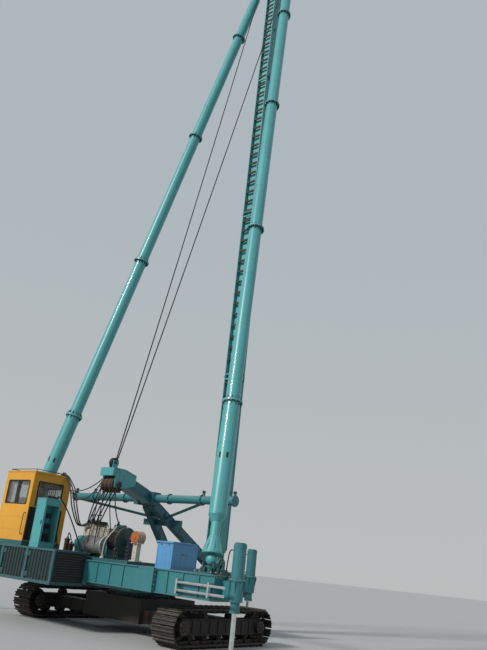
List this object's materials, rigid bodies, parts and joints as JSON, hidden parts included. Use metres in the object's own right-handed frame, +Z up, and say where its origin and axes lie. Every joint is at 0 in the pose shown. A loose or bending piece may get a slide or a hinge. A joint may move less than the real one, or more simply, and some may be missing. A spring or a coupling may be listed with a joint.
{
  "type": "crawler pile driver rig",
  "caption": "Crawler pile driver rig with a tall box mast held upright by two raking tube stays, a raising gantry, winches, a cab and ground jacks.",
  "frame": {"origin": "on the ground under the middle of the whole machine's box", "axes": "+X forward, to the side of the mast that carries the guide tubes; +Y to the machine's left; +Z up along the mast"},
  "size_m": [6, 8.26, 28.2],
  "materials": {
    "teal_paint": "weathered satin paint",
    "dark_teal_paint": "grimy satin paint",
    "black_steel": "matt, oily and dusty",
    "cab_yellow": "satin paint",
    "chest_blue": "satin paint",
    "rod_chrome": "polished",
    "drum_silver": "worn bright steel",
    "rusty_steel": "rusted",
    "green_wheel": "satin paint",
    "blue_black_drum": "greasy paint",
    "beige_box": "dusty satin paint",
    "orange_drum": "faded paint",
    "cab_glass": "tinted and dusty",
    "seat_vinyl": "matt vinyl"
  },
  "bodies": {
    "chassis": {"main_frame": "teal_paint", "rear_deck": "teal_paint", "rear_beam": "teal_paint", "front_beam": "teal_paint", "jack_tubes": "teal_paint", "gantry_frame": "teal_paint", "cross_tube": "teal_paint", "valve_cabinet": "teal_paint", "winch_motor": "teal_paint", "turntable": "dark_teal_paint", "deck_plate": "dark_teal_paint", "stay_sockets": "dark_teal_paint", "mast_bracket": "dark_teal_paint", "cab_floor": "dark_teal_paint", "winch_base": "dark_teal_paint", "track_left": "black_steel", "track_right": "black_steel", "track_frame_left": "black_steel", "track_frame_right": "black_steel", "car_body": "black_steel", "cabinet_levers": "black_steel", "seat_base": "black_steel", "cab_back": "cab_yellow", "cab_right_side": "cab_yellow", "cab_left_side": "cab_yellow", "cab_front": "cab_yellow", "cab_roof": "cab_yellow", "tool_chest": "chest_blue", "slide_rods": "rod_chrome", "control_post": "blue_black_drum", "winch_gearbox": "beige_box", "rope_guide": "orange_drum", "cab_glass": "cab_glass", "seat_pads": "seat_vinyl"},
    "mast": {"mast_column": "teal_paint", "mast_channel": "teal_paint", "mast_rails": "teal_paint", "mast_flanges": "dark_teal_paint", "crossarm": "black_steel", "crown_beam": "teal_paint"},
    "stay_left": {"stay_left": "teal_paint"},
    "stay_right": {"stay_right": "teal_paint"},
    "crown_sheave_rear": {"crown_sheave_rear": "black_steel"},
    "crown_sheave_front": {"crown_sheave_front": "black_steel"},
    "head_sheaves": {"head_sheaves": "rusty_steel"},
    "top_sheave": {"top_sheave": "black_steel"},
    "main_drum": {"main_drum": "drum_silver"},
    "aux_drum": {"aux_drum": "blue_black_drum", "brake_wheel": "green_wheel"},
    "cab_door": {"cab_door": "cab_yellow", "door_glass": "cab_glass"},
    "tool_chest_lid": {"tool_chest_lid": "chest_blue"},
    "jack_rear_left": {"jack_rod_rear_left": "rod_chrome"},
    "jack_rear_right": {"jack_rod_rear_right": "rod_chrome"},
    "jack_front_left": {"jack_rod_front_left": "rod_chrome"},
    "jack_front_right": {"jack_rod_front_right": "rod_chrome"}
  },
  "joints": [
    {"name": "mast_raise", "type": "hinge", "parent": "chassis", "child": "mast", "pos_m": [2.1, 0, 1.56], "axis": [0, 1, 0], "range_deg": [0, 90]},
    {"name": "stay_left_fold", "type": "hinge", "parent": "mast", "child": "stay_left", "pos_m": [2, 0.62, 21.9], "axis": [0, 1, 0], "range_deg": [-11, 0]},
    {"name": "stay_right_fold", "type": "hinge", "parent": "mast", "child": "stay_right", "pos_m": [2, -0.62, 21.9], "axis": [0, 1, 0], "range_deg": [-11, 0]},
    {"name": "crown_sheave_rear_spin", "type": "hinge", "parent": "mast", "child": "crown_sheave_rear", "pos_m": [1.37, 0, 27.94], "axis": [0, 1, 0], "continuous": true},
    {"name": "crown_sheave_front_spin", "type": "hinge", "parent": "mast", "child": "crown_sheave_front", "pos_m": [2.87, 0, 27.94], "axis": [0, 1, 0], "continuous": true},
    {"name": "head_sheaves_spin", "type": "hinge", "parent": "chassis", "child": "head_sheaves", "pos_m": [-1.79, 0, 3.01], "axis": [0, 1, 0], "continuous": true},
    {"name": "top_sheave_spin", "type": "hinge", "parent": "chassis", "child": "top_sheave", "pos_m": [-1.84, 0, 3.495], "axis": [0, 1, 0], "continuous": true},
    {"name": "main_drum_spin", "type": "hinge", "parent": "chassis", "child": "main_drum", "pos_m": [-1.7, 0.255, 1.7], "axis": [0, 1, 0], "continuous": true},
    {"name": "aux_drum_spin", "type": "hinge", "parent": "chassis", "child": "aux_drum", "pos_m": [-1.7, -0.375, 1.815], "axis": [0, 1, 0], "continuous": true},
    {"name": "cab_door_swing", "type": "hinge", "parent": "chassis", "child": "cab_door", "pos_m": [-2.67, 2.66, 2.3], "axis": [0, 0, 1], "range_deg": [0, 100]},
    {"name": "chest_lid_lift", "type": "hinge", "parent": "chassis", "child": "tool_chest_lid", "pos_m": [-1.142, -2.035, 1.886], "axis": [0, 1, 0], "range_deg": [0, 100]},
    {"name": "jack_rear_left_lift", "type": "slide", "parent": "chassis", "child": "jack_rear_left", "axis": [0, 0, 1], "range_m": [0, 0.45]},
    {"name": "jack_rear_right_lift", "type": "slide", "parent": "chassis", "child": "jack_rear_right", "axis": [0, 0, 1], "range_m": [0, 0.45]},
    {"name": "jack_front_left_lift", "type": "slide", "parent": "chassis", "child": "jack_front_left", "axis": [0, 0, 1], "range_m": [0, 0.45]},
    {"name": "jack_front_right_lift", "type": "slide", "parent": "chassis", "child": "jack_front_right", "axis": [0, 0, 1], "range_m": [0, 0.45]}
  ],
  "couplings": [
    {"joint": "stay_left_fold", "follows": "mast_raise", "ratio": -0.115},
    {"joint": "stay_right_fold", "follows": "mast_raise", "ratio": -0.115}
  ]
}
